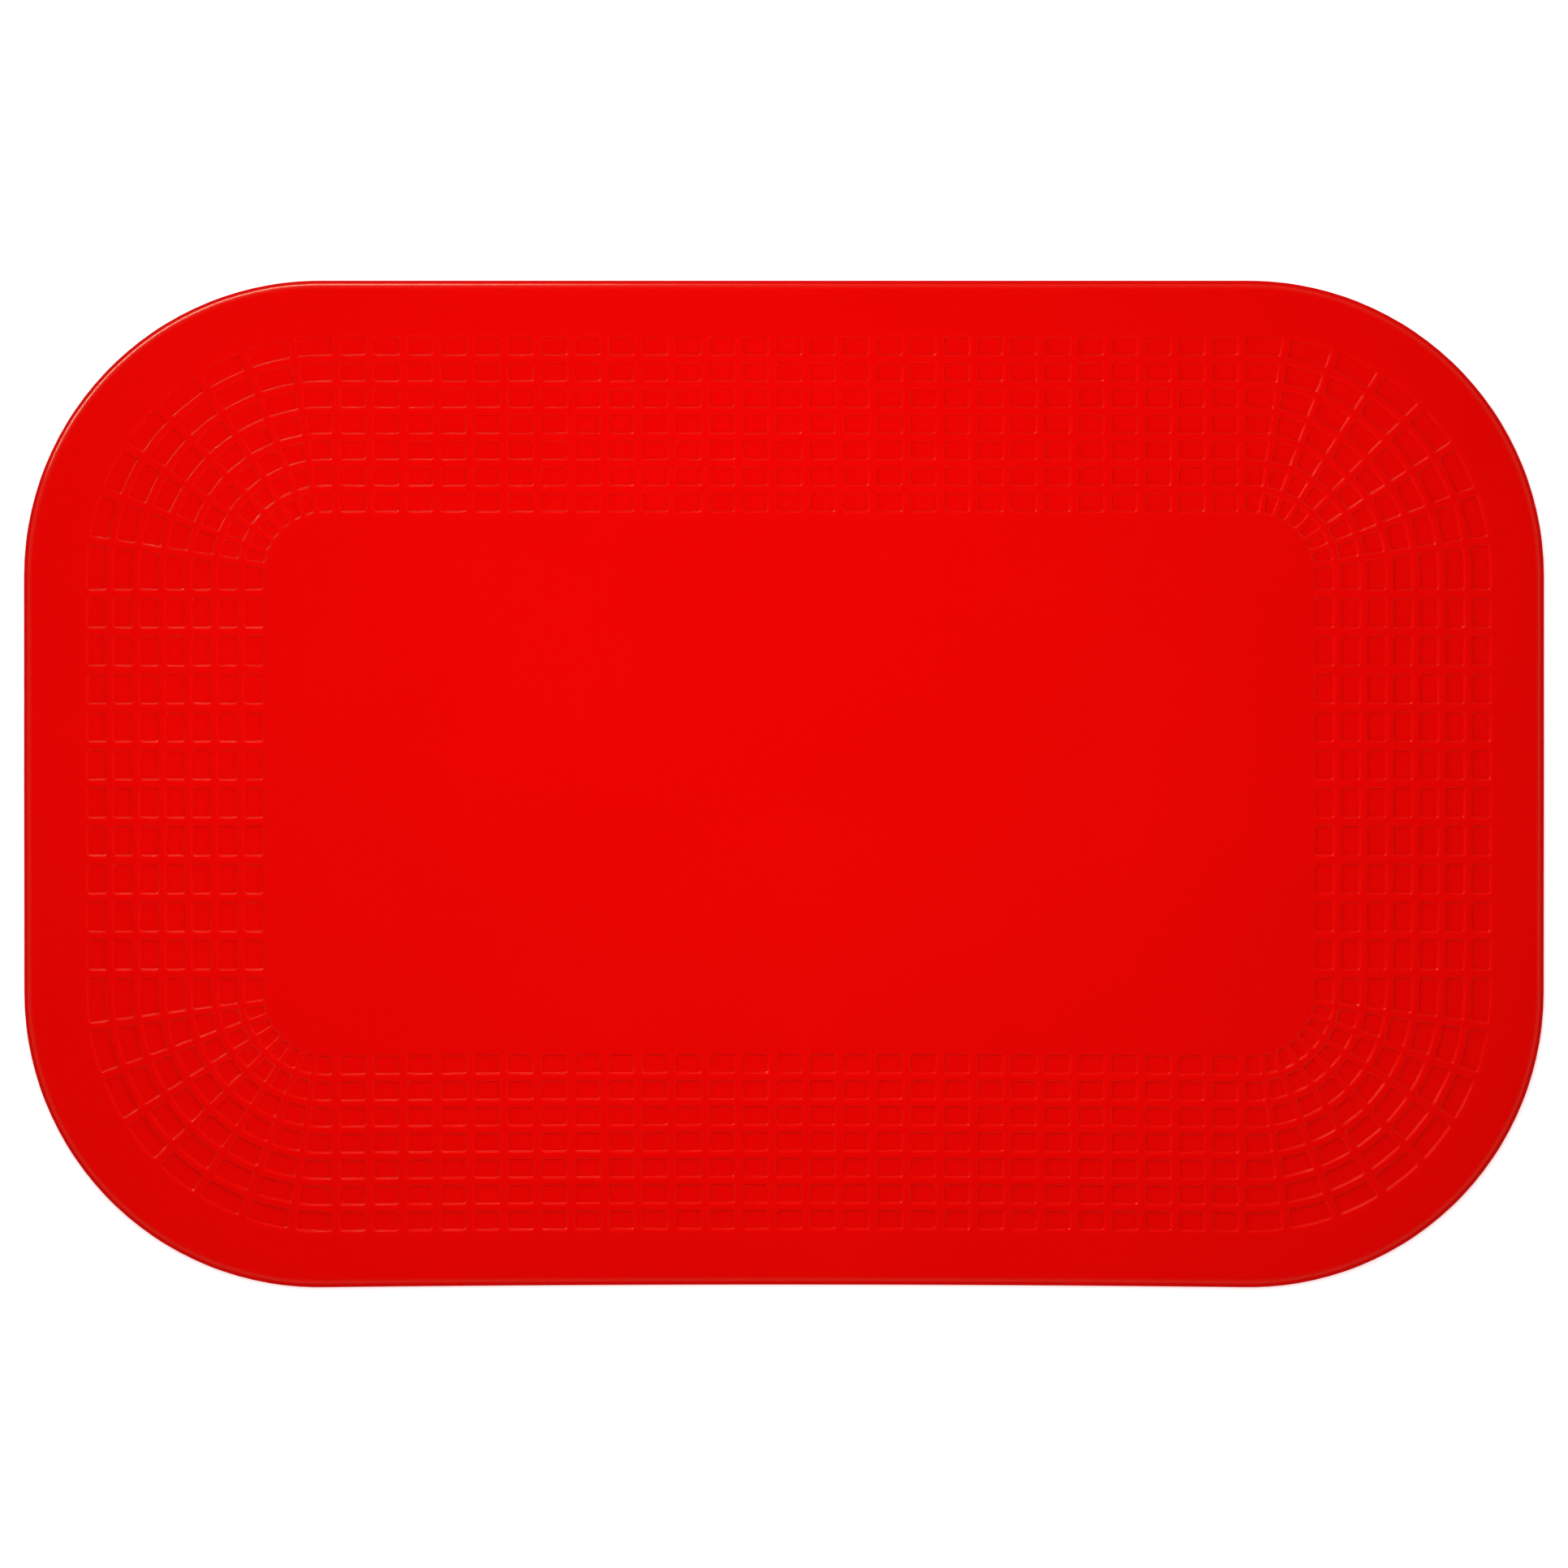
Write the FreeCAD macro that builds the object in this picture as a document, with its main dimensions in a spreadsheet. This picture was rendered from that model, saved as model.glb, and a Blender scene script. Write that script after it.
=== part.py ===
import FreeCAD, Part
import math
import os
import Sketcher

# A non-slip table mat, moulded in one piece from soft rubbery polymer.
#
# The mat is a rounded rectangle with a rounded edge. A band of shallow cells runs round it, between
# a plain border and a plain middle field. The band is seven concentric channels. Narrow ribs cross
# the channels and divide them into cells: evenly along the four sides, and like a fan round each
# corner, where they grow narrower towards the middle field. Every rib is level with the border and
# the field, so the top is flat to touch.
#
# The mat is made the way its mould makes it. The mould's core is seven raised rings, slotted where
# the mat has cross ribs, and what is left of the rings presses the cells into the plain slab.
#
# Frame: the origin is the centre of the underside, +X runs along the mat's length and +Z points up.
# All sizes are in millimetres, and angles in degrees.

SHEET = "dims"

# alias, value, meaning
DRIVING_DIMENSIONS = [
    ("mat_length", 360.0, "overall size along X"),
    ("mat_width", 238.5, "overall size along Y"),
    ("mat_thickness", 4.0, "underside to top face"),
    ("corner_radius", 70.0, "outline's corners, seen from above"),
    ("top_edge_radius", 2.8, "rounding of the upper edge"),
    ("base_edge_radius", 0.8, "rounding of the lower edge"),
    ("end_border", 14.3, "outline to band, at the short ends"),
    ("side_border", 13.6, "outline to band, along the long sides"),
    ("band_shift", 1.2, "band's centre from the mat's centre, along +X"),
    ("band_width", 41.3, "outermost channel's outer wall to innermost channel's inner wall"),
    ("band_corner_radius", 56.0, "band's outer wall at the corners"),
    ("channel_count", 7, "channels side by side in the band"),
    ("channel_gap", 1.9, "rib between two channels"),
    ("channel_depth", 0.7, "top face to channel floor"),
    ("cross_rib_width", 2.1, "ribs that cross the channels"),
    ("fan_rib_inner_width", 1.4, "the same ribs at the corners, beside the middle field"),
    ("core_overshoot", 1.0, "how far the core's slots and rings run past what they cut"),
    ("long_side_cells", 27, "cells along each long side"),
    ("long_side_pitch", 7.93, "spacing of the cross ribs on a long side"),
    ("short_side_cells", 10, "cells along each short side"),
    ("short_side_pitch", 8.98, "spacing of the cross ribs on a short side"),
    ("fan_ribs", 7, "cross ribs in each corner, spread evenly about its diagonal"),
    ("fan_step", 12.3, "angle between two ribs of a fan"),
]

# Sizes that follow from the driving dimensions, as expressions for the document.
HALF_LENGTH = f"{SHEET}.mat_length / 2"
HALF_WIDTH = f"{SHEET}.mat_width / 2"
BAND_HALF_LENGTH = f"({HALF_LENGTH} - {SHEET}.end_border)"
BAND_HALF_WIDTH = f"({HALF_WIDTH} - {SHEET}.side_border)"
CHANNEL_WIDTH = (
    f"(({SHEET}.band_width - ({SHEET}.channel_count - 1) * {SHEET}.channel_gap)"
    f" / {SHEET}.channel_count)"
)
CHANNEL_PITCH = f"({CHANNEL_WIDTH} + {SHEET}.channel_gap)"
FLOOR_HEIGHT = f"{SHEET}.mat_thickness - {SHEET}.channel_depth"
FAN_CENTRE_X = f"({BAND_HALF_LENGTH} - {SHEET}.band_corner_radius)"
FAN_CENTRE_Y = f"({BAND_HALF_WIDTH} - {SHEET}.band_corner_radius)"
FAN_SWEEP = f"({SHEET}.fan_step * ({SHEET}.fan_ribs - 1))"
CROSS_RIB_WIDTH = f"{SHEET}.cross_rib_width"
LONG_SIDE_SPAN = f"({SHEET}.long_side_pitch * {SHEET}.long_side_cells)"
SHORT_SIDE_SPAN = f"({SHEET}.short_side_pitch * {SHEET}.short_side_cells)"

TOLERANCE = 1e-4
UP = FreeCAD.Vector(0, 0, 1)
START, END = 1, 2  # how a constraint names the ends of a line or an arc
CENTRE = 3  # and the centre of an arc
SKETCH_ORIGIN = (-1, 1)


def make_sheet(doc):
    """The spreadsheet that holds every driving dimension, one to a row."""
    sheet = doc.addObject("Spreadsheet::Sheet", SHEET)
    for row, (alias, value, meaning) in enumerate(DRIVING_DIMENSIONS, start=1):
        sheet.set(f"A{row}", alias)
        sheet.set(f"B{row}", str(value))
        sheet.set(f"C{row}", meaning)
        sheet.setAlias(f"B{row}", alias)
    doc.recompute()
    return sheet


def origin_plane(body, role):
    """One of the body's own origin planes, such as XY_Plane."""
    return next(item for item in body.Origin.OriginFeatures if item.Role == role)


def new_sketch(body, name, height="0", centre_x="0", centre_y="0", turn="0"):
    """A horizontal sketch whose origin is at the given place; turn is its angle about Z."""
    sketch = body.newObject("Sketcher::SketchObject", name)
    sketch.AttachmentSupport = [(origin_plane(body, "XY_Plane"), "")]
    sketch.MapMode = "FlatFace"
    sketch.setExpression("AttachmentOffset.Base.x", centre_x)
    sketch.setExpression("AttachmentOffset.Base.y", centre_y)
    sketch.setExpression("AttachmentOffset.Base.z", height)
    sketch.setExpression("AttachmentOffset.Rotation.Angle", f"({turn}) * 1 deg")
    return sketch


def bind_distance(sketch, kind, first, second, name, expression):
    """Hold the distance between two sketch points, along X or Y, at an expression's value."""
    value = float(sketch.evalExpression(expression))
    index = sketch.addConstraint(Sketcher.Constraint(kind, *first, *second, value))
    sketch.renameConstraint(index, name)
    sketch.setExpression(f"Constraints.{name}", expression)


def line(x1, y1, x2, y2):
    """A sketch line between two points."""
    return Part.LineSegment(FreeCAD.Vector(x1, y1, 0), FreeCAD.Vector(x2, y2, 0))


def corner_arc(x, y, radius, quarter):
    """A quarter circle about (x, y); quarter 0 is the one between +X and +Y."""
    circle = Part.Circle(FreeCAD.Vector(x, y, 0), UP, radius)
    turn = math.pi / 2
    return Part.ArcOfCircle(circle, quarter * turn, (quarter + 1) * turn)


def rounded_rectangle(sketch, name, half_length, half_width, radius):
    """A rounded rectangle about the sketch's origin, held by three named sizes."""
    x = float(sketch.evalExpression(half_length))
    y = float(sketch.evalExpression(half_width))
    r = float(sketch.evalExpression(radius))
    right, arc_0, top, arc_1, left, arc_2, bottom, arc_3 = sketch.addGeometry(
        [
            line(x, r - y, x, y - r),
            corner_arc(x - r, y - r, r, 0),
            line(x - r, y, r - x, y),
            corner_arc(r - x, y - r, r, 1),
            line(-x, y - r, -x, r - y),
            corner_arc(r - x, r - y, r, 2),
            line(r - x, -y, x - r, -y),
            corner_arc(x - r, r - y, r, 3),
        ]
    )
    loop = [right, arc_0, top, arc_1, left, arc_2, bottom, arc_3]
    joins = zip(loop, loop[1:] + loop[:1])
    sketch.addConstraint([Sketcher.Constraint("Tangent", a, END, b, START) for a, b in joins])
    sketch.addConstraint(
        [Sketcher.Constraint("Vertical", side) for side in (right, left)]
        + [Sketcher.Constraint("Horizontal", side) for side in (top, bottom)]
        + [Sketcher.Constraint("Equal", arc_0, other) for other in (arc_1, arc_2, arc_3)]
    )
    # The lower right corner is the upper left one turned half a turn about the origin.
    sketch.addConstraint(
        Sketcher.Constraint("Symmetric", arc_1, CENTRE, arc_3, CENTRE, *SKETCH_ORIGIN)
    )
    bind_distance(sketch, "DistanceX", SKETCH_ORIGIN, (right, END), f"{name}_x", half_length)
    bind_distance(sketch, "DistanceY", SKETCH_ORIGIN, (top, START), f"{name}_y", half_width)
    index = sketch.addConstraint(Sketcher.Constraint("Radius", arc_0, r))
    sketch.renameConstraint(index, f"{name}_radius")
    sketch.setExpression(f"Constraints.{name}_radius", radius)


def slot_outline(sketch, inner, outer, inner_width, outer_width):
    """A cross rib's slot seen from above: it lies on the sketch's Y axis, from inner to outer."""
    low = float(sketch.evalExpression(inner))
    high = float(sketch.evalExpression(outer))
    low_x = float(sketch.evalExpression(inner_width)) / 2
    high_x = float(sketch.evalExpression(outer_width)) / 2
    sides = sketch.addGeometry(
        [
            line(-low_x, low, low_x, low),
            line(low_x, low, high_x, high),
            line(high_x, high, -high_x, high),
            line(-high_x, high, -low_x, low),
        ]
    )
    bottom, _, top, _ = sides
    joins = zip(sides, sides[1:] + sides[:1])
    sketch.addConstraint([Sketcher.Constraint("Coincident", a, END, b, START) for a, b in joins])
    sketch.addConstraint([Sketcher.Constraint("Horizontal", side) for side in (bottom, top)])
    bind_distance(sketch, "DistanceY", SKETCH_ORIGIN, (bottom, START), "inner_end", inner)
    bind_distance(sketch, "DistanceY", SKETCH_ORIGIN, (top, START), "outer_end", outer)
    for end, left, right, width in (
        ("inner", (bottom, START), (bottom, END), inner_width),
        ("outer", (top, END), (top, START), outer_width),
    ):
        bind_distance(sketch, "DistanceX", left, SKETCH_ORIGIN, f"{end}_left", f"{width} / 2")
        bind_distance(sketch, "DistanceX", SKETCH_ORIGIN, right, f"{end}_right", f"{width} / 2")


def add_slab(body):
    """The mat's plain slab."""
    sketch = new_sketch(body, "outline")
    rounded_rectangle(sketch, "outline", HALF_LENGTH, HALF_WIDTH, f"{SHEET}.corner_radius")
    pad = body.newObject("PartDesign::Pad", "slab")
    pad.Profile = sketch
    pad.setExpression("Length", f"{SHEET}.mat_thickness")
    return pad


def round_edge(body, base, name, height, radius):
    """Round the slab's whole edge at one height."""
    edges = [
        f"Edge{number}"
        for number, edge in enumerate(base.Shape.Edges, start=1)
        if max(abs(edge.BoundBox.ZMin - height), abs(edge.BoundBox.ZMax - height)) < TOLERANCE
    ]
    fillet = body.newObject("PartDesign::Fillet", name)
    fillet.Base = (base, edges)
    fillet.setExpression("Radius", radius)
    return fillet


def add_ring(core, number):
    """The core's ring for one channel; number 0 is the outermost."""
    sketch = new_sketch(core, f"ring_{number + 1}_walls", FLOOR_HEIGHT, f"{SHEET}.band_shift")
    outer_inset = f"{number} * {CHANNEL_PITCH}"
    for name, inset in (("outer", outer_inset), ("inner", f"{outer_inset} + {CHANNEL_WIDTH}")):
        rounded_rectangle(
            sketch,
            name,
            f"{BAND_HALF_LENGTH} - ({inset})",
            f"{BAND_HALF_WIDTH} - ({inset})",
            f"{SHEET}.band_corner_radius - ({inset})",
        )
    ring = core.newObject("PartDesign::Pad", f"ring_{number + 1}")
    ring.Profile = sketch
    ring.setExpression("Length", f"{SHEET}.channel_depth + {SHEET}.core_overshoot")
    return sketch


def add_first_slot(core, name, centre, inner, outer, turn="0", inner_width=CROSS_RIB_WIDTH):
    """The first slot of a group, from the core's foot up through all the rings."""
    centre_x, centre_y = centre
    shifted_x = f"{SHEET}.band_shift + {centre_x}"
    sketch = new_sketch(core, f"{name}_outline", "0", shifted_x, centre_y, turn)
    low = f"{inner} - {SHEET}.core_overshoot"
    high = f"{outer} + {SHEET}.core_overshoot"
    slot_outline(sketch, low, high, inner_width, CROSS_RIB_WIDTH)
    slot = core.newObject("PartDesign::Pocket", name)
    slot.Profile = sketch
    slot.Type = "ThroughAll"
    slot.Reversed = True
    slot.Refine = False
    return sketch, slot


def mirror(core, name, band_sketch, axis):
    """A mirror step across the band's own centre line."""
    step = core.newObject("PartDesign::Mirrored", name)
    step.MirrorPlane = (band_sketch, [axis])
    return step


def linear_row(core, name, sketch, reach, count):
    """A row step along the slot sketch's X axis: reach is first to last slot."""
    step = core.newObject("PartDesign::LinearPattern", name)
    step.Direction = (sketch, ["H_Axis"])
    step.setExpression("Length", reach)
    step.setExpression("Occurrences", count)
    return step


def fan_row(core, name, sketch):
    """A turn step about the slot sketch's origin, counter-clockwise."""
    step = core.newObject("PartDesign::PolarPattern", name)
    step.Axis = (sketch, ["N_Axis"])
    step.setExpression("Angle", FAN_SWEEP)
    step.setExpression("Occurrences", f"{SHEET}.fan_ribs")
    return step


def repeat(core, name, feature, steps):
    """Repeat one feature through several pattern steps; no copy leaves a face to merge."""
    pattern = core.newObject("PartDesign::MultiTransform", name)
    pattern.Originals = [feature]
    pattern.Transformations = steps
    pattern.Refine = False
    core.Tip = pattern
    return pattern


def add_long_side_slots(core, band_sketch):
    """Slots of both long sides."""
    first = (f"-1 * {LONG_SIDE_SPAN} / 2", "0")
    inner = f"{BAND_HALF_WIDTH} - {SHEET}.band_width"
    sketch, slot = add_first_slot(core, "long_side_slot", first, inner, BAND_HALF_WIDTH)
    row = linear_row(core, "long_side_row", sketch, LONG_SIDE_SPAN, f"{SHEET}.long_side_cells + 1")
    other_side = mirror(core, "long_side_mirror", band_sketch, "H_Axis")
    return repeat(core, "long_side_slots", slot, [row, other_side])


def add_short_side_slots(core, band_sketch):
    """Slots of both short sides; their sketch is turned so that its Y axis points along +X."""
    first = ("0", f"{SHORT_SIDE_SPAN} / 2")
    inner = f"{BAND_HALF_LENGTH} - {SHEET}.band_width"
    sketch, slot = add_first_slot(core, "short_side_slot", first, inner, BAND_HALF_LENGTH, "-90")
    row = linear_row(
        core, "short_side_row", sketch, SHORT_SIDE_SPAN, f"{SHEET}.short_side_cells + 1"
    )
    other_side = mirror(core, "short_side_mirror", band_sketch, "V_Axis")
    return repeat(core, "short_side_slots", slot, [row, other_side])


def add_fan_slots(core, band_sketch):
    """Slots of the four corners; the first fan is the one between -X and +Y."""
    centre = (f"-1 * {FAN_CENTRE_X}", FAN_CENTRE_Y)
    outer = f"{SHEET}.band_corner_radius"
    inner = f"{outer} - {SHEET}.band_width"
    turn = f"45 - {FAN_SWEEP} / 2"
    inner_width = f"{SHEET}.fan_rib_inner_width"
    sketch, slot = add_first_slot(core, "fan_slot", centre, inner, outer, turn, inner_width)
    steps = [
        fan_row(core, "fan_row", sketch),
        mirror(core, "fan_mirror_right", band_sketch, "V_Axis"),
        mirror(core, "fan_mirror_lower", band_sketch, "H_Axis"),
    ]
    return repeat(core, "fan_slots", slot, steps)


def require(condition, message):
    """Stop the build with a plain message."""
    if not condition:
        raise RuntimeError(message)


def build_core(doc, sheet):
    """The mould core's raised pads, one to a cell, as one body of separate solids."""
    core = doc.addObject("PartDesign::Body", "mould_core")
    core.AllowCompound = True
    for number in range(int(sheet.channel_count)):
        band_sketch = add_ring(core, number)
    doc.recompute()
    volume = core.Shape.Volume
    for add_slots in (add_short_side_slots, add_fan_slots, add_long_side_slots):
        pattern = add_slots(core, band_sketch)
        doc.recompute()
        require(core.Shape.Volume < volume, f"{pattern.Name} cut nothing")
        volume = core.Shape.Volume
    return core


def build_mat(doc, sheet, core):
    """The whole mat: a slab with rounded edges and the cells that the core presses into it."""
    body = doc.addObject("PartDesign::Body", "mat")
    body.Label = "mat"
    slab = add_slab(body)
    doc.recompute()
    upper = round_edge(body, slab, "upper_edge", sheet.mat_thickness, f"{SHEET}.top_edge_radius")
    doc.recompute()
    round_edge(body, upper, "lower_edge", 0.0, f"{SHEET}.base_edge_radius")
    doc.recompute()
    plain_volume = body.Shape.Volume
    require(plain_volume < slab.Shape.Volume, "rounding the edges took no material")
    cells = body.newObject("PartDesign::Boolean", "cells")
    cells.Type = "Cut"
    cells.Refine = False
    cells.setObjects([core])
    doc.recompute()
    require(body.Shape.Volume < plain_volume, "the core pressed no cells")
    return body


def check_cells(body, sheet):
    """The band must hold its full count of separate cells."""
    floor = sheet.mat_thickness - sheet.channel_depth
    floors = [
        face
        for face in body.Shape.Faces
        if max(abs(face.BoundBox.ZMin - floor), abs(face.BoundBox.ZMax - floor)) < TOLERANCE
    ]
    # A fan's outermost ribs also share a cell each with the sides that it joins.
    columns = 2 * (sheet.long_side_cells + sheet.short_side_cells) + 4 * (sheet.fan_ribs + 1)
    expected = int(columns * sheet.channel_count)
    require(len(floors) == expected, f"{len(floors)} cells were made, and {expected} are needed")


def check_document(doc, body):
    """No object may have failed, and the mat must be one valid solid."""
    for item in doc.Objects:
        failed = {"Invalid", "Error"} & set(item.State)
        require(not failed, f"{item.Name} failed: {item.State}")
    require(not body.Shape.isNull() and body.Shape.isValid(), f"{body.Label} is not valid")
    require(len(body.Shape.Solids) == 1, f"{body.Label} is not one solid")


def main():
    doc = FreeCAD.newDocument("table_mat")
    sheet = make_sheet(doc)
    mat = build_mat(doc, sheet, build_core(doc, sheet))
    check_document(doc, mat)
    check_cells(mat, sheet)
    os.makedirs("parts", exist_ok=True)
    mat.Shape.exportStep(f"parts/{mat.Label}.step")
    box = mat.Shape.optimalBoundingBox(False, False)
    size = " x ".join(f"{side:.2f}" for side in (box.XLength, box.YLength, box.ZLength))
    print(f"mat: {size} mm, {mat.Shape.Volume:.0f} mm3, {len(mat.Shape.Faces)} faces")


main()
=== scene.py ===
import math
from collections import namedtuple

import bmesh
import bpy
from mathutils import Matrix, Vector, noise
from mathutils.geometry import delaunay_2d_cdt


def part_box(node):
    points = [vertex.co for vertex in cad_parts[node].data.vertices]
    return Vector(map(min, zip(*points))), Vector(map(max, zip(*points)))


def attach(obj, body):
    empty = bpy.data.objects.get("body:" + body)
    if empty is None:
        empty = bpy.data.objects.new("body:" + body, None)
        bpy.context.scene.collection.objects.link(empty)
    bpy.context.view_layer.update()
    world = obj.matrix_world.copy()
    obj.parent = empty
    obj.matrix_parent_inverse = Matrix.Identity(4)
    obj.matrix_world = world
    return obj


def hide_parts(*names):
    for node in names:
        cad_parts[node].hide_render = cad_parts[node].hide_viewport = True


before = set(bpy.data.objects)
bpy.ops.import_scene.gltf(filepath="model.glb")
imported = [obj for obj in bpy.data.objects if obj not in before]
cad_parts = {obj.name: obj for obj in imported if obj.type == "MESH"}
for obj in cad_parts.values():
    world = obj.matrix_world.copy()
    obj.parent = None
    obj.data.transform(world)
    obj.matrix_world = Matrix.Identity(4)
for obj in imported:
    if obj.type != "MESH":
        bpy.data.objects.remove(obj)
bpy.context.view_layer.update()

# The visible mat: one closed mesh that stands for the CAD node "mat". All lengths are in metres.
# The rounded rectangles of the outline and of the band of cells are "rings". A place on a ring is a
# distance along it, clockwise from the left end of its top side.

LOW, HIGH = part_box("mat")
MM = 0.001

# The outline, from the CAD box, with the radii of its corners and edges.
HALF_LENGTH = (HIGH.x - LOW.x) / 2
HALF_WIDTH = (HIGH.y - LOW.y) / 2
TOP = HIGH.z
CORNER_RADIUS = 70 * MM
TOP_EDGE_RADIUS = 2.8 * MM
BASE_EDGE_RADIUS = 0.8 * MM

# The band of cells.
END_BORDER = 14.3 * MM
SIDE_BORDER = 13.6 * MM
BAND_SHIFT = 1.2 * MM
BAND_WIDTH = 41.3 * MM
BAND_CORNER_RADIUS = 56 * MM
ROWS = 7
ROW_GAP = 1.9 * MM
CROSS_RIB = 2.1 * MM
FAN_RIB_INNER = 1.4 * MM
CELL_DEPTH = 0.7 * MM
LONG_SIDE_CELLS = 27
LONG_SIDE_PITCH = 7.93 * MM
SHORT_SIDE_CELLS = 10
SHORT_SIDE_PITCH = 8.98 * MM
FAN_RIBS = 7
FAN_STEP = math.radians(12.3)

QUARTER = math.pi / 2
CELL_HEIGHT = (BAND_WIDTH - (ROWS - 1) * ROW_GAP) / ROWS
ROW_PITCH = CELL_HEIGHT + ROW_GAP
FAN_X = HALF_LENGTH - END_BORDER - BAND_CORNER_RADIUS
FAN_Y = HALF_WIDTH - SIDE_BORDER - BAND_CORNER_RADIUS
FAN_START = (QUARTER - FAN_STEP * (FAN_RIBS - 1)) / 2

# The soft shape of one cell's rim.
CELL_CORNER_RADIUS = 0.55 * MM
RIM_WIDTH = 0.45 * MM
RIM_STEPS = 4
CORNER_STEPS = 4
STEPS_ROUND_A_CORNER = 3

# Fineness of the rest of the mesh.
EDGE_STEPS = 6
BORDER_STEPS = 3
SHEET_GRID = 8 * MM
MERGE_DISTANCE = 0.001 * MM
KEEP_INSIDE_ONLY = 1  # the triangulation's setting that drops what lies outside the edge

# How far the real sheet is from its ideal shape.
SWELL_LENGTH = 45 * MM
SWELL_HEIGHT = 0.06 * MM
LONG_SWELL_LENGTH = 3 * SWELL_LENGTH
LONG_SWELL_HEIGHT = 2 * SWELL_HEIGHT
SIDE_BOW = 0.65 * MM
SIDE_BOW_REACH = 0.61  # as a share of half the length
SIDE_SPREAD = 0.4 * MM
SIDE_SPREAD_TURN = 0.5  # the spread changes sign where (y / half width) squared is this

# The polymer, in linear colour.
RED_DEEP = (0.83, 0.0006, 0.0002, 1.0)
RED_BRIGHT = (0.88, 0.0012, 0.0003, 1.0)
# Painted shade: the base colour falls to this share at the floors of the cells.
RECESS_PAINTED_SHADE = 0.99
SPECULAR_TINT = (1.0, 0.7, 0.4, 1.0)
SPECULAR_LEVEL = 0.36
ROUGHNESS_RANGE = (0.18, 0.22)
SCATTER_SHARE = 1.0
SCATTER_LENGTH = 1.1 * MM
SCATTER_BY_COLOUR = (1.0, 0.15, 0.1)
MOTTLE_SIZE = 60 * MM
GRAIN_SIZE = 0.5 * MM
GRAIN_STRENGTH = 0.25
GRAIN_HEIGHT = 0.05 * MM
NOISE_DETAIL = 2.0

# The studio. Each softbox has a name, a place, a width, a height and a power in watts. The last value
# says what it gives: only reflections (True) or only plain light (False), which no real lamp does.
SOFT_LIGHTS = [
    ("overhead", (-0.03, 0.075, 0.43), 0.3, 0.3, 1.65, False),
    ("low_strip", (-0.69, 0.98, 0.25), 1.4, 0.05, 16.0, True),
]
# (height, brightness) of the surroundings, from the horizon (0) to straight above (1).
WORLD_BANDS = [(0.0, 0.03), (0.1, 0.1), (0.35, 0.7), (0.9, 0.04)]
FLOOR_REACH = 3.0
FLOOR_GAP = 0.1 * MM
FLOOR_MOTTLE = 0.5
FLOOR_SHADES = (0.9, 0.94)
FLOOR_GLOW = 0.55
LENS = 100.0
SENSOR = 36.0
FRAME_MARGIN = 1.029

Ring = namedtuple("Ring", "half_x half_y radius centre_x")
Rib = namedtuple("Rib", "straight angle inner_width")
CORNER_SIGNS = [(-1, 1), (1, 1), (1, -1), (-1, -1)]
RING_LEGS = 2 * len(CORNER_SIGNS)


def band_ring(inset):
    """The ring that lies this far inside the band's outer wall."""
    return Ring(FAN_X, FAN_Y, BAND_CORNER_RADIUS - inset, BAND_SHIFT)


def outline_ring(inset):
    """The ring that lies this far inside the mat's outline."""
    return Ring(HALF_LENGTH - CORNER_RADIUS, HALF_WIDTH - CORNER_RADIUS, CORNER_RADIUS - inset, 0.0)


def leg_length(ring, leg):
    """Length of one of a ring's eight legs: side, corner, side, corner and so on."""
    if leg % 2:
        return QUARTER * ring.radius
    return 2 * (ring.half_y if leg % 4 else ring.half_x)


def locate(ring, distance):
    """(leg, fraction of that leg) at a distance along the ring."""
    leg = 0
    while distance > leg_length(ring, leg):
        distance -= leg_length(ring, leg)
        leg = (leg + 1) % RING_LEGS
    return leg, distance / leg_length(ring, leg)


def spot(ring, leg, fraction):
    """(x, y) of a place on the ring."""
    side, on_corner = divmod(leg, 2)
    x0, y0 = CORNER_SIGNS[side]
    x1, y1 = CORNER_SIGNS[(side + 1) % len(CORNER_SIGNS)]
    along = 1.0 if on_corner else fraction
    angle = QUARTER * (1 - side - (fraction if on_corner else 0.0))
    x = ring.half_x * (x0 + (x1 - x0) * along) + ring.radius * math.cos(angle)
    y = ring.half_y * (y0 + (y1 - y0) * along) + ring.radius * math.sin(angle)
    return ring.centre_x + x, y


def half_loop_ribs():
    """The cross ribs of one long side, the next fan, one short side and the fan after it."""
    first_x = FAN_X - LONG_SIDE_PITCH * LONG_SIDE_CELLS / 2
    first_y = 2 * FAN_X + FAN_Y - SHORT_SIDE_PITCH * SHORT_SIDE_CELLS / 2
    fan_angles = [FAN_START + k * FAN_STEP for k in range(FAN_RIBS)]
    long_side = [
        Rib(first_x + k * LONG_SIDE_PITCH, 0.0, CROSS_RIB) for k in range(LONG_SIDE_CELLS + 1)
    ]
    fan = [Rib(2 * FAN_X, angle, FAN_RIB_INNER) for angle in fan_angles]
    short_side = [
        Rib(first_y + k * SHORT_SIDE_PITCH, QUARTER, CROSS_RIB) for k in range(SHORT_SIDE_CELLS + 1)
    ]
    last_fan = [Rib(2 * (FAN_X + FAN_Y), QUARTER + angle, FAN_RIB_INNER) for angle in fan_angles]
    return long_side + fan + short_side + last_fan


def all_ribs():
    """Every cross rib once round, and the first again at the end."""
    half = half_loop_ribs()
    half_way = 2 * (FAN_X + FAN_Y)
    turned = [Rib(half_way + rib.straight, math.pi + rib.angle, rib.inner_width) for rib in half]
    first_again = Rib(2 * half_way + half[0].straight, 2 * math.pi, half[0].inner_width)
    return half + turned + [first_again]


def rib_centre(rib, inset):
    """Distance to the rib's centre line, along the band's ring at this inset."""
    return rib.straight + rib.angle * (BAND_CORNER_RADIUS - inset)


def half_rib(rib, inset):
    """Half the rib's width where it crosses the band's ring at this inset."""
    return (CROSS_RIB + (rib.inner_width - CROSS_RIB) * inset / BAND_WIDTH) / 2


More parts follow.
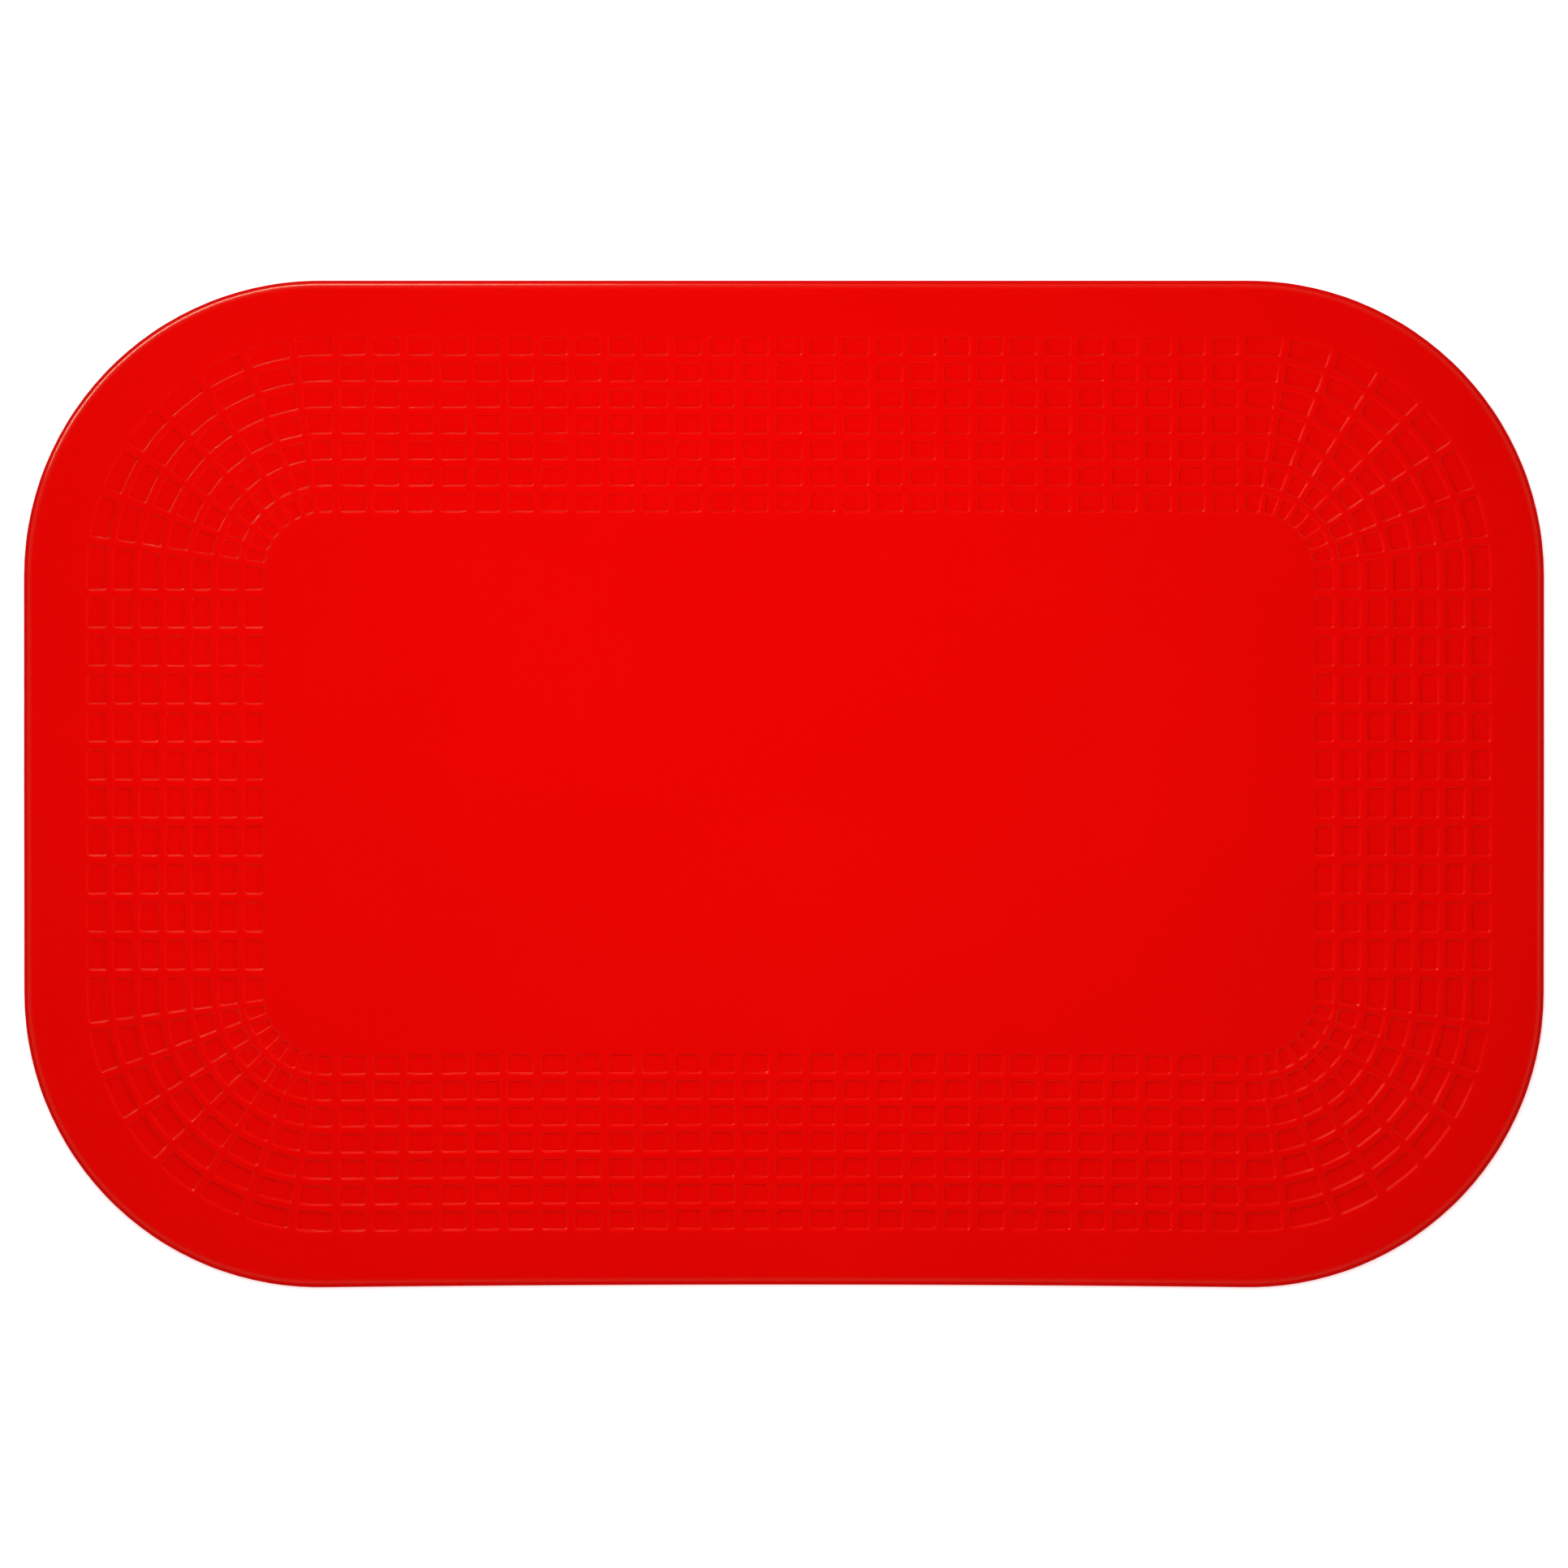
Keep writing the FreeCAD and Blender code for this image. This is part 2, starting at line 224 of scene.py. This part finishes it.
def loop_pattern(steps_along):
    """Points of a cell's rounded loop: (along 0 to 1, across 0 to 1, corner angle or None)."""
    corner = [QUARTER * k / CORNER_STEPS for k in range(CORNER_STEPS + 1)]
    between = [k / steps_along for k in range(1, steps_along)]
    points = [(0.0, 0.0, math.pi - a) for a in corner]
    points += [(f, 0.0, QUARTER) for f in between]
    points += [(1.0, 0.0, QUARTER - a) for a in corner]
    points += [(1.0, 1.0, -a) for a in corner]
    points += [(1 - f, 1.0, -QUARTER) for f in between]
    points += [(0.0, 1.0, -QUARTER - a) for a in corner]
    return points


class Cell:
    """One cell's tile: the cell and its share of the ribs round it."""

    def __init__(self, left, right, row):
        self.left = left
        self.right = right
        self.outer = row * ROW_PITCH
        self.inner = self.outer + CELL_HEIGHT
        is_curved = right.angle > left.angle
        self.pattern = loop_pattern(STEPS_ROUND_A_CORNER if is_curved else 1)

    def along_ring(self, inset, share, margin):
        """Distance along the ring between the cell's two sides, which are moved in by a margin."""
        start = rib_centre(self.left, inset) + half_rib(self.left, inset) + margin
        end = rib_centre(self.right, inset) - half_rib(self.right, inset) - margin
        return start + (end - start) * share

    def place(self, inset, distance):
        """(x, y) on the band's ring at this inset."""
        ring = band_ring(inset)
        return spot(ring, *locate(ring, distance))

    def rim_loop(self, offset, height):
        """The cell's outline, moved inwards by an offset, at one height."""
        radius = CELL_CORNER_RADIUS - offset
        points = []
        for along, across, angle in self.pattern:
            low, high = self.outer + offset + radius, self.inner - offset - radius
            inset = low + (high - low) * across - radius * math.sin(angle)
            distance = self.along_ring(inset, along, offset + radius) + radius * math.cos(angle)
            points.append((*self.place(inset, distance), height))
        return points

    def tile_places(self):
        """(inset, distance) of the tile's edge, half a rib outside the cell, per rim point."""
        places = []
        for along, across, angle in self.pattern:
            toward_x = math.copysign(min(1.0, abs(math.cos(angle)) * math.sqrt(2)), math.cos(angle))
            toward_y = math.copysign(min(1.0, abs(math.sin(angle)) * math.sqrt(2)), math.sin(angle))
            low, high = self.outer + CELL_CORNER_RADIUS, self.inner - CELL_CORNER_RADIUS
            inset = low + (high - low) * across - toward_y * (CELL_CORNER_RADIUS + ROW_GAP / 2)
            rib = self.right if toward_x > 0 else self.left
            distance = self.along_ring(inset, along, CELL_CORNER_RADIUS)
            distance += toward_x * (CELL_CORNER_RADIUS + half_rib(rib, inset))
            places.append((inset, distance))
        return places

    def tile_loop(self):
        """The tile's edge, level with the top."""
        return [(*self.place(inset, distance), TOP) for inset, distance in self.tile_places()]

    def outer_edge(self):
        """Distances of the tile's outer edge points, from its left corner up to its right one."""
        half = CORNER_STEPS // 2
        last = len(self.pattern) // 2 - half - 1
        return [distance for _, distance in self.tile_places()[half:last]]


class MeshParts:
    """Vertices and faces, gathered part by part; shared points are merged at the end."""

    def __init__(self):
        self.vertices = []
        self.faces = []

    def add_loop(self, points):
        """Add vertices and return their numbers."""
        first = len(self.vertices)
        self.vertices.extend(points)
        return list(range(first, first + len(points)))

    def bridge(self, outer, inner):
        """Quads between two closed clockwise loops of equal length."""
        count = len(outer)
        for k in range(count):
            after = (k + 1) % count
            self.faces.append((outer[k], inner[k], inner[after], outer[after]))


def add_cell(parts, cell):
    """The tops of the ribs round one cell, its soft rim and its floor."""
    loop = parts.add_loop(cell.tile_loop())
    for step in range(RIM_STEPS + 1):
        share = step / RIM_STEPS
        offset = RIM_WIDTH * (share - 0.5)
        height = TOP - CELL_DEPTH * (0.5 - 0.5 * math.cos(math.pi * share))
        next_loop = parts.add_loop(cell.rim_loop(offset, height))
        parts.bridge(loop, next_loop)
        loop = next_loop
    parts.faces.append(tuple(reversed(loop)))


def band_edge(columns, row):
    """The ring that a row's outer edge lies on, and (leg, fraction) of each of its points."""
    ring = band_ring(row * ROW_PITCH - ROW_GAP / 2)
    distances = [d for left, right in columns for d in Cell(left, right, row).outer_edge()]
    return ring, [locate(ring, distance) for distance in distances]


def edge_profile():
    """(inset, height) down the mat's edge, from the top face to the underside."""
    profile = []
    for step in range(EDGE_STEPS + 1):
        angle = QUARTER * step / EDGE_STEPS
        inset = TOP_EDGE_RADIUS * (1 - math.sin(angle))
        profile.append((inset, TOP - TOP_EDGE_RADIUS * (1 - math.cos(angle))))
    for step in range(EDGE_STEPS + 1):
        angle = QUARTER * step / EDGE_STEPS
        inset = BASE_EDGE_RADIUS * (1 - math.cos(angle))
        profile.append((inset, LOW.z + BASE_EDGE_RADIUS * (1 - math.sin(angle))))
    return profile


def add_border(parts, columns):
    """The plain border, the rounded edge and the underside."""
    ring, places = band_edge(columns, 0)
    flat_ring = outline_ring(TOP_EDGE_RADIUS)
    loop = parts.add_loop([(*spot(ring, *place), TOP) for place in places])
    for step in range(1, BORDER_STEPS):
        share = step / BORDER_STEPS
        points = []
        for place in places:
            start, end = Vector(spot(ring, *place)), Vector(spot(flat_ring, *place))
            points.append((*start.lerp(end, share), TOP))
        next_loop = parts.add_loop(points)
        parts.bridge(next_loop, loop)
        loop = next_loop
    for inset, height in edge_profile():
        ring = outline_ring(inset)
        next_loop = parts.add_loop([(*spot(ring, *place), height) for place in places])
        parts.bridge(next_loop, loop)
        loop = next_loop
    add_sheet(parts, ring, places, LOW.z)


def is_inside(ring, x, y, margin):
    """Whether a point lies inside the ring, clear of it by a margin."""
    beyond_x = max(0.0, abs(x - ring.centre_x) - ring.half_x)
    beyond_y = max(0.0, abs(y) - ring.half_y)
    return math.hypot(beyond_x, beyond_y) < ring.radius - margin


def add_sheet(parts, ring, places, height):
    """A flat sheet that fills a ring, with an even grid of points so that it can take a relief."""
    edge = [Vector(spot(ring, *place)) for place in places]
    reach_x = int((ring.half_x + ring.radius) / SHEET_GRID)
    reach_y = int((ring.half_y + ring.radius) / SHEET_GRID)
    grid = [
        Vector((ring.centre_x + i * SHEET_GRID, j * SHEET_GRID))
        for i in range(-reach_x, reach_x + 1)
        for j in range(-reach_y, reach_y + 1)
        if is_inside(ring, ring.centre_x + i * SHEET_GRID, j * SHEET_GRID, SHEET_GRID / 2)
    ]
    points, _, triangles, *_ = delaunay_2d_cdt(
        edge + grid, [], [range(len(edge))], KEEP_INSIDE_ONLY, MERGE_DISTANCE
    )
    numbers = parts.add_loop([(*point, height) for point in points])
    parts.faces.extend(tuple(numbers[k] for k in triangle) for triangle in triangles)


def relief(x, y):
    """Small height differences of the moulded sheet: soft swells, and still softer long ones."""
    swell = noise.noise(Vector((x, y, 0.0)) / SWELL_LENGTH)
    long_swell = noise.noise(Vector((x, y, 1.0)) / LONG_SWELL_LENGTH)
    return SWELL_HEIGHT * swell + LONG_SWELL_HEIGHT * long_swell


def settled(x, y, z):
    """Where a point of the ideal mat lies on the real one, whose sides have relaxed a little."""
    thickness_share = (z - LOW.z) / (TOP - LOW.z)
    across = x / HALF_LENGTH
    down = -y / HALF_WIDTH
    pull = max(0.0, down) * max(0.0, 1 - (across / SIDE_BOW_REACH) ** 2)
    spread = across * (down**2 - SIDE_SPREAD_TURN) * max(0.0, down)
    return x + SIDE_SPREAD * spread, y + SIDE_BOW * pull, z + relief(x, y) * thickness_share


def build_mat():
    """The whole visible mat as one closed mesh."""
    ribs = all_ribs()
    columns = list(zip(ribs[:-1], ribs[1:]))
    parts = MeshParts()
    for left, right in columns:
        for row in range(ROWS):
            add_cell(parts, Cell(left, right, row))
    add_border(parts, columns)
    add_sheet(parts, *band_edge(columns, ROWS), TOP)
    mesh = bpy.data.meshes.new("soft_mat")
    mesh.from_pydata([settled(*vertex) for vertex in parts.vertices], [], parts.faces)
    work = bmesh.new()
    work.from_mesh(mesh)
    bmesh.ops.remove_doubles(work, verts=work.verts, dist=MERGE_DISTANCE)
    bmesh.ops.recalc_face_normals(work, faces=work.faces)
    for face in work.faces:
        face.smooth = True
    work.to_mesh(mesh)
    work.free()
    mat = bpy.data.objects.new("soft_mat", mesh)
    bpy.context.scene.collection.objects.link(mat)
    modifier = mat.modifiers.new("even_shading", "WEIGHTED_NORMAL")
    modifier.keep_sharp = False
    return mat


class Nodes:
    """A short way to write a material's node tree."""

    def __init__(self, name):
        self.material = bpy.data.materials.new(name)
        self.material.use_nodes = True
        self.tree = self.material.node_tree
        self.tree.nodes.clear()

    def add(self, kind, inputs=None, **settings):
        """A node with its settings, and its inputs as values or as other nodes' outputs."""
        node = self.tree.nodes.new(kind)
        for name, value in settings.items():
            setattr(node, name, value)
        for name, value in (inputs or {}).items():
            if isinstance(value, bpy.types.NodeSocket):
                self.tree.links.new(value, node.inputs[name])
            else:
                node.inputs[name].default_value = value
        return node

    def mix(self, share, first, second):
        """A colour between two others."""
        inputs = {"Factor": share, "A": first, "B": second}
        return self.add("ShaderNodeMix", inputs, data_type="RGBA").outputs["Result"]

    def scale(self, value, low, high):
        """A noise value between 0 and 1, moved to between low and high."""
        node = self.add("ShaderNodeMapRange", {"Value": value, "To Min": low, "To Max": high})
        return node.outputs["Result"]

    def noise(self, place, size):
        """Soft noise whose features are about this size."""
        inputs = {"Vector": place, "Scale": 1 / size, "Detail": NOISE_DETAIL}
        return self.add("ShaderNodeTexNoise", inputs).outputs["Fac"]


def rubber_material():
    """Satin red polymer that scatters light, with grain, faint mottling and painted shade in its recesses.
    """
    nodes = Nodes("red_polymer")
    place = nodes.add("ShaderNodeTexCoord").outputs["Object"]
    mottle = nodes.noise(place, MOTTLE_SIZE)
    grain = nodes.noise(place, GRAIN_SIZE)
    mixed = nodes.mix(mottle, RED_DEEP, RED_BRIGHT)
    height = nodes.add("ShaderNodeSeparateXYZ", {"Vector": place}).outputs["Z"]
    # Painted shade: the colour darkens with depth into the cells and is darkest at their floors.
    level = nodes.add(
        "ShaderNodeMapRange",
        {"Value": height, "From Min": TOP - CELL_DEPTH, "From Max": TOP, "To Min": RECESS_PAINTED_SHADE},
    )
    shade = nodes.add(
        "ShaderNodeVectorMath", {0: mixed, "Scale": level.outputs["Result"]}, operation="SCALE"
    )
    bump = nodes.add(
        "ShaderNodeBump", {"Height": grain, "Strength": GRAIN_STRENGTH, "Distance": GRAIN_HEIGHT}
    )
    surface = nodes.add(
        "ShaderNodeBsdfPrincipled",
        {
            "Base Color": shade.outputs["Vector"],
            "Roughness": nodes.scale(mottle, *ROUGHNESS_RANGE),
            "Specular IOR Level": SPECULAR_LEVEL,
            "Specular Tint": SPECULAR_TINT,
            "Subsurface Weight": SCATTER_SHARE,
            "Subsurface Scale": SCATTER_LENGTH,
            "Subsurface Radius": SCATTER_BY_COLOUR,
            "Normal": bump.outputs["Normal"],
        },
    )
    nodes.add("ShaderNodeOutputMaterial", {"Surface": surface.outputs["BSDF"]})
    return nodes.material


def floor_material():
    """A pale light table, lit softly from inside; it isn't there when seen from underneath."""
    nodes = Nodes("pale_floor")
    place = nodes.add("ShaderNodeTexCoord").outputs["Object"]
    shade = nodes.scale(nodes.noise(place, FLOOR_MOTTLE), *FLOOR_SHADES)
    pale = nodes.add("ShaderNodeBsdfDiffuse", {"Color": shade})
    glow = nodes.add("ShaderNodeEmission", {"Strength": FLOOR_GLOW})
    lit = nodes.add(
        "ShaderNodeAddShader", {0: pale.outputs["BSDF"], 1: glow.outputs["Emission"]}
    )
    clear = nodes.add("ShaderNodeBsdfTransparent")
    back = nodes.add("ShaderNodeNewGeometry").outputs["Backfacing"]
    mix = nodes.add("ShaderNodeMixShader", {"Fac": back})
    nodes.tree.links.new(lit.outputs["Shader"], mix.inputs[1])
    nodes.tree.links.new(clear.outputs["BSDF"], mix.inputs[2])
    nodes.add("ShaderNodeOutputMaterial", {"Surface": mix.outputs["Shader"]})
    return nodes.material


def add_floor():
    """A wide plain floor just under the mat."""
    mesh = bpy.data.meshes.new("floor")
    height = LOW.z - FLOOR_GAP
    corners = [(sx * FLOOR_REACH, sy * FLOOR_REACH, height) for sx, sy in reversed(CORNER_SIGNS)]
    mesh.from_pydata(corners, [], [(0, 1, 2, 3)])
    mesh.materials.append(floor_material())
    floor = bpy.data.objects.new("floor", mesh)
    floor.visible_glossy = False  # so that the mat's edges don't mirror it
    bpy.context.scene.collection.objects.link(floor)


def add_soft_light(name, place, width, height, power, is_reflection):
    """A rectangular softbox that faces the mat and isn't seen by the camera."""
    light = bpy.data.lights.new(name, "AREA")
    light.shape = "RECTANGLE"
    light.size = width
    light.size_y = height
    light.energy = power
    lamp = bpy.data.objects.new(name, light)
    lamp.location = place
    lamp.rotation_euler = (-Vector(place)).to_track_quat("-Z", "Y").to_euler()
    lamp.visible_camera = False
    lamp.visible_glossy = is_reflection
    lamp.visible_diffuse = not is_reflection
    bpy.context.scene.collection.objects.link(lamp)


def add_world():
    """Soft surroundings: dark at the horizon and straight above, where the camera stands."""
    world = bpy.data.worlds.new("studio")
    world.use_nodes = True
    tree = world.node_tree
    tree.nodes.clear()
    place = tree.nodes.new("ShaderNodeTexCoord")
    split = tree.nodes.new("ShaderNodeSeparateXYZ")
    bands = tree.nodes.new("ShaderNodeValToRGB")
    back = tree.nodes.new("ShaderNodeBackground")
    out = tree.nodes.new("ShaderNodeOutputWorld")
    stops = bands.color_ramp.elements
    while len(stops) < len(WORLD_BANDS):
        stops.new(1.0)
    for stop, (height, strength) in zip(stops, WORLD_BANDS):
        stop.position = height
        stop.color = (strength, strength, strength, 1.0)
    tree.links.new(place.outputs["Generated"], split.inputs["Vector"])
    tree.links.new(split.outputs["Z"], bands.inputs["Fac"])
    tree.links.new(bands.outputs["Color"], back.inputs["Color"])
    tree.links.new(back.outputs["Background"], out.inputs["Surface"])
    bpy.context.scene.world = world


def add_camera():
    """A long lens straight above the middle of the mat."""
    data = bpy.data.cameras.new("camera")
    data.lens = LENS
    data.sensor_width = SENSOR
    camera = bpy.data.objects.new("camera", data)
    camera.location = (0.0, 0.0, TOP + 2 * HALF_LENGTH * FRAME_MARGIN * LENS / SENSOR)
    bpy.context.scene.collection.objects.link(camera)
    bpy.context.scene.camera = camera


def main():
    scene = bpy.context.scene
    scene.view_settings.view_transform = "Standard"
    mat = build_mat()
    mat.data.materials.append(rubber_material())
    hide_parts("mat")
    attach(mat, "root")
    add_floor()
    for light in SOFT_LIGHTS:
        add_soft_light(*light)
    add_world()
    add_camera()


main()
